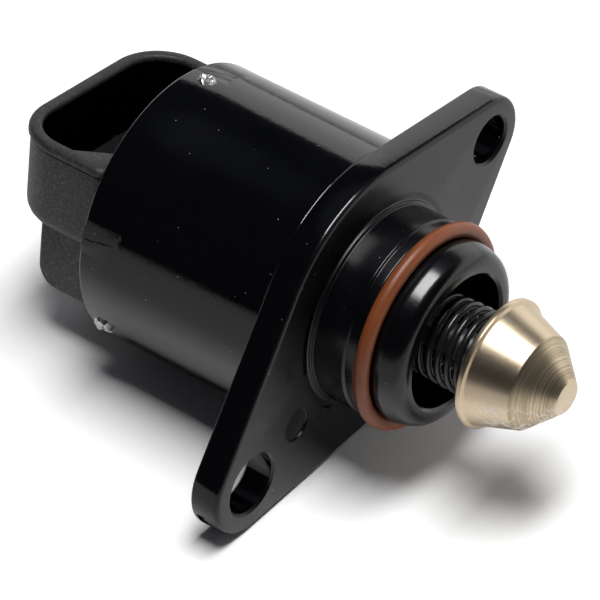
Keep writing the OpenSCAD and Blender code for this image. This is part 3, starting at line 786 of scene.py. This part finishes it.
def socket_ring(inset, height, front=0.0, chamfer=None):
    """The socket's outline, drawn in by an inset, with its front side further in and maybe chamfered."""
    x0, x1, half = SOCKET_X0 + inset, SOCKET_X1 - inset - front, SOCKET_HALF - inset
    r, small = SOCKET_R - inset, 1.2
    out = arc((x0 + r, -half + r), r, 180, 270, 14)
    if chamfer:
        long, wide = chamfer
        out += [(x1 - long + long * i / 4, -half + wide * i / 4) for i in range(5)]
        out += [(x1 - long * i / 4, half - wide + wide * i / 4) for i in range(5)]
    else:
        out += arc((x1 - small, -half + small), small, 270, 360, 4)
        out += arc((x1 - small, half - small), small, 0, 90, 4)
    out += arc((x0 + r, half - r), r, 90, 180, 14)
    return [(x, y, height) for x, y in out]


rings = [socket_ring(3.6, SOCKET_LOW)]
for i in range(7):
    angle = math.pi / 2 * i / 6
    height = SOCKET_LOW + FOOT_ROUND * (1 - math.cos(angle))
    rings.append(socket_ring(FOOT_ROUND * (1 - math.sin(angle)), height))
BAND = [(0.0, 1.45), (0.1, 1.35), (0.1, 1.22), (-0.22, 1.1), (-0.3, 0.95), (-0.3, 0.7)]
rings += [socket_ring(inset, SOCKET_TOP - below) for inset, below in BAND]
for i in range(1, 7):
    angle = math.pi / 2 * i / 6
    rings.append(socket_ring(-0.3 + 0.7 * (1 - math.cos(angle)), SOCKET_TOP - 0.7 + 0.7 * math.sin(angle)))
rings.append(socket_ring(0.9, SOCKET_TOP))
SLANT, SLANT_DEEP = (4.3, 3.1), (1.1, 0.79)
for i in range(1, 5):
    angle = math.pi / 2 * i / 4
    rings.append(socket_ring(0.9 + 0.5 * math.sin(angle), SOCKET_TOP - 0.5 * (1 - math.cos(angle)), 0, SLANT))
rings += [socket_ring(SOCKET_WALL, SOCKET_TOP - 0.85, 0, SLANT),
          socket_ring(SOCKET_WALL + 0.02, SOCKET_TOP - 0.9, SOCKET_LEDGE - SOCKET_WALL - 0.2, SLANT_DEEP),
          socket_ring(SOCKET_WALL + 0.05, SOCKET_TOP - 1.1, SOCKET_LEDGE - SOCKET_WALL, SLANT_DEEP),
          socket_ring(SOCKET_WALL + 0.1, SOCKET_FLOOR, SOCKET_LEDGE - SOCKET_WALL, SLANT_DEEP)]


def loft(rings):
    """Raises one ring after another. A new point still lies on the one below, which tells where it goes."""
    piece = outline_piece(rings[0], "NGON")
    for last, following in zip(rings, rings[1:]):
        bpy.ops.mesh.extrude_region_move()
        mesh = bmesh.from_edit_mesh(piece.data)
        mesh.verts.ensure_lookup_table()
        below = [Vector(place) * MM for place in last]
        for vertex in [v for v in mesh.verts if v.select]:
            nearest = min(range(len(below)), key=lambda i: (vertex.co - below[i]).length)
            vertex.co = Vector(following[nearest]) * MM
        bmesh.update_edit_mesh(piece.data)
    close_up()
    return piece


socket = loft(rings)
print("socket", len(socket.data.polygons))

# %% [markdown]
# Two ribs on the wall next to the can key the plug. The cap's block stands behind the can, under the socket.
# Its lower side follows the can's round: it is turned, rounded at its rear edge, and trimmed by a box. A well
# in it takes the rear bush and leaves room for the shaft when the pintle is drawn back.

# %% Ribs and cap block
CAP_X0, CAP_HALF, CAP_R, CAP_ROUND = -42.0, 11.6, 16.2, 2.8
RIB_X, RIB_Y, RIB_W = SOCKET_X1 - SOCKET_LEDGE - 0.9, 5.4, 1.2
ribs = [slab((RIB_X, y - RIB_W / 2, SOCKET_FLOOR - 0.2), (RIB_W, RIB_W, 10.2), 0.2, 2)
        for y in (-RIB_Y, RIB_Y)]
block = turned(rounded([(CAP_X0, 0), (CAP_X0, CAP_R, CAP_ROUND), (-31.1, CAP_R), (-31.1, 0)], 10))
carve(block, slab((CAP_X0, -CAP_HALF, -20), (30, 2 * CAP_HALF, 18.4), 0.7), "INTERSECT")
neck = turned([(-31.6, 0), (-31.6, 15.4), (-29.9, 15.4), (-29.9, 16.1), (-27.8, 16.1), (-27.8, 0)], 96)


def shaft_well():
    """The room behind the rear bush that the shaft backs into."""
    return turned([(-32.4, 0), (-32.4, 2.6), (-29.9, 2.6), (-29.9, 4.5), (-27.0, 4.5), (-27.0, 0)], 64)


carve(block, shaft_well())
carve(neck, shaft_well())
cap = join(socket, block, neck, *ribs)
settle(cap, "plug_cap", cap_plastic, ["connector_cap"], angle=40)

# %% [markdown]
# ## Terminals
#
# Four tinned blades stand in the socket. Each is punched from strip: its leg leads forward to the coils, it
# bends up at a right angle, and its tip is tapered so that the plug slides on.

# %% Terminals
BLADE_X, BLADE_TOP, LEG_Z = -39.5, 4.6, -6.2
side_view = [(BLADE_X - 0.32, LEG_Z - 0.32), (-27.8, LEG_Z - 0.32), (-27.8, LEG_Z + 0.32),
             (BLADE_X + 0.32, LEG_Z + 0.32),
             (BLADE_X + 0.32, BLADE_TOP - 0.5), (BLADE_X + 0.14, BLADE_TOP), (BLADE_X - 0.14, BLADE_TOP),
             (BLADE_X - 0.32, BLADE_TOP - 0.5)]
blades = []
for i in range(4):
    y = (i - 1.5) * 4.2
    blade = prism([(x, y - 0.75, z) for x, z in side_view], (0, 1.5, 0))
    round_edges(blade, lambda a, b: True, 0.06, 2)
    blades.append(blade)
settle(join(*blades), "socket_blades", tin, ["terminals"], angle=40)
